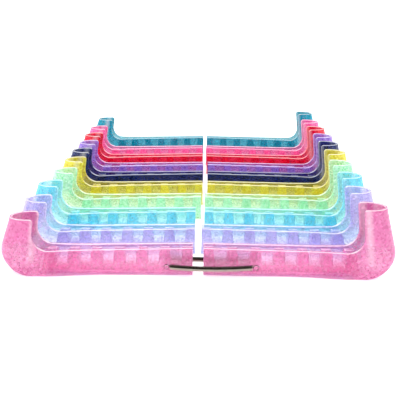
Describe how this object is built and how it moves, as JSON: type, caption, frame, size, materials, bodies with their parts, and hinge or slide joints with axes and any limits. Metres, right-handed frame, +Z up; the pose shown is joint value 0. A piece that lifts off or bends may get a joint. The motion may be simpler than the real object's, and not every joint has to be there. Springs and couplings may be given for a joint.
{
  "type": "skate blade guard set",
  "caption": "Set of two-piece figure skate blade guards in clear coloured plastic: slotted channels with tall end towers, one pair of halves joined by side springs.",
  "frame": {"origin": "on the surface that the guards stand on, under the middle of the whole set", "axes": "+X from the heel ends to the toe ends, +Y from the front guard to the rows behind, +Z up"},
  "size_m": [0.3396, 0.453, 0.0621],
  "materials": {
    "pink_plastic": "glossy see-through moulding with fine glitter in it",
    "lilac_plastic": "glossy see-through moulding with fine glitter in it",
    "aqua_plastic": "glossy see-through moulding with fine glitter in it",
    "mint_plastic": "glossy see-through moulding with fine glitter in it",
    "yellow_plastic": "glossy see-through moulding with fine glitter in it",
    "navy_plastic": "glossy see-through moulding with fine glitter in it",
    "violet_plastic": "glossy see-through moulding with fine glitter in it",
    "red_plastic": "glossy see-through moulding with fine glitter in it",
    "rose_plastic": "glossy see-through moulding with fine glitter in it",
    "teal_plastic": "glossy see-through moulding with fine glitter in it",
    "spring_steel": "bright drawn spring wire"
  },
  "bodies": {
    "pink_heel": {"pink_heel_half": "pink_plastic", "front_spring": "spring_steel", "rear_spring": "spring_steel"},
    "pink_toe": {"pink_toe_half": "pink_plastic"},
    "lilac_heel": {"lilac_heel_half": "lilac_plastic"},
    "lilac_toe": {"lilac_toe_half": "lilac_plastic"},
    "aqua_heel": {"aqua_heel_half": "aqua_plastic"},
    "aqua_toe": {"aqua_toe_half": "aqua_plastic"},
    "mint_heel": {"mint_heel_half": "mint_plastic"},
    "mint_toe": {"mint_toe_half": "mint_plastic"},
    "yellow_heel": {"yellow_heel_half": "yellow_plastic"},
    "yellow_toe": {"yellow_toe_half": "yellow_plastic"},
    "navy_heel": {"navy_heel_half": "navy_plastic"},
    "navy_toe": {"navy_toe_half": "navy_plastic"},
    "violet_heel": {"violet_heel_half": "violet_plastic"},
    "violet_toe": {"violet_toe_half": "violet_plastic"},
    "red_heel": {"red_heel_half": "red_plastic"},
    "red_toe": {"red_toe_half": "red_plastic"},
    "rose_heel": {"rose_heel_half": "rose_plastic"},
    "rose_toe": {"rose_toe_half": "rose_plastic"},
    "teal_heel": {"teal_heel_half": "teal_plastic"},
    "teal_toe": {"teal_toe_half": "teal_plastic"}
  },
  "joints": [
    {"name": "spring_stretch", "type": "slide", "parent": "pink_heel", "child": "pink_toe", "axis": [1, 0, 0], "range_m": [0, 0.025], "stiffness_N_per_m": 2800, "deforming": ["front_spring", "rear_spring"]},
    {"name": "lilac_heel_lift", "type": "slide", "parent": "pink_heel", "child": "lilac_heel", "axis": [0, 0, 1], "range_m": [0, 0.08]},
    {"name": "lilac_toe_lift", "type": "slide", "parent": "pink_heel", "child": "lilac_toe", "axis": [0, 0, 1], "range_m": [0, 0.08]},
    {"name": "aqua_heel_lift", "type": "slide", "parent": "pink_heel", "child": "aqua_heel", "axis": [0, 0, 1], "range_m": [0, 0.08]},
    {"name": "aqua_toe_lift", "type": "slide", "parent": "pink_heel", "child": "aqua_toe", "axis": [0, 0, 1], "range_m": [0, 0.08]},
    {"name": "mint_heel_lift", "type": "slide", "parent": "pink_heel", "child": "mint_heel", "axis": [0, 0, 1], "range_m": [0, 0.08]},
    {"name": "mint_toe_lift", "type": "slide", "parent": "pink_heel", "child": "mint_toe", "axis": [0, 0, 1], "range_m": [0, 0.08]},
    {"name": "yellow_heel_lift", "type": "slide", "parent": "pink_heel", "child": "yellow_heel", "axis": [0, 0, 1], "range_m": [0, 0.08]},
    {"name": "yellow_toe_lift", "type": "slide", "parent": "pink_heel", "child": "yellow_toe", "axis": [0, 0, 1], "range_m": [0, 0.08]},
    {"name": "navy_heel_lift", "type": "slide", "parent": "pink_heel", "child": "navy_heel", "axis": [0, 0, 1], "range_m": [0, 0.08]},
    {"name": "navy_toe_lift", "type": "slide", "parent": "pink_heel", "child": "navy_toe", "axis": [0, 0, 1], "range_m": [0, 0.08]},
    {"name": "violet_heel_lift", "type": "slide", "parent": "pink_heel", "child": "violet_heel", "axis": [0, 0, 1], "range_m": [0, 0.08]},
    {"name": "violet_toe_lift", "type": "slide", "parent": "pink_heel", "child": "violet_toe", "axis": [0, 0, 1], "range_m": [0, 0.08]},
    {"name": "red_heel_lift", "type": "slide", "parent": "pink_heel", "child": "red_heel", "axis": [0, 0, 1], "range_m": [0, 0.08]},
    {"name": "red_toe_lift", "type": "slide", "parent": "pink_heel", "child": "red_toe", "axis": [0, 0, 1], "range_m": [0, 0.08]},
    {"name": "rose_heel_lift", "type": "slide", "parent": "pink_heel", "child": "rose_heel", "axis": [0, 0, 1], "range_m": [0, 0.08]},
    {"name": "rose_toe_lift", "type": "slide", "parent": "pink_heel", "child": "rose_toe", "axis": [0, 0, 1], "range_m": [0, 0.08]},
    {"name": "teal_heel_lift", "type": "slide", "parent": "pink_heel", "child": "teal_heel", "axis": [0, 0, 1], "range_m": [0, 0.08]},
    {"name": "teal_toe_lift", "type": "slide", "parent": "pink_heel", "child": "teal_toe", "axis": [0, 0, 1], "range_m": [0, 0.08]}
  ]
}
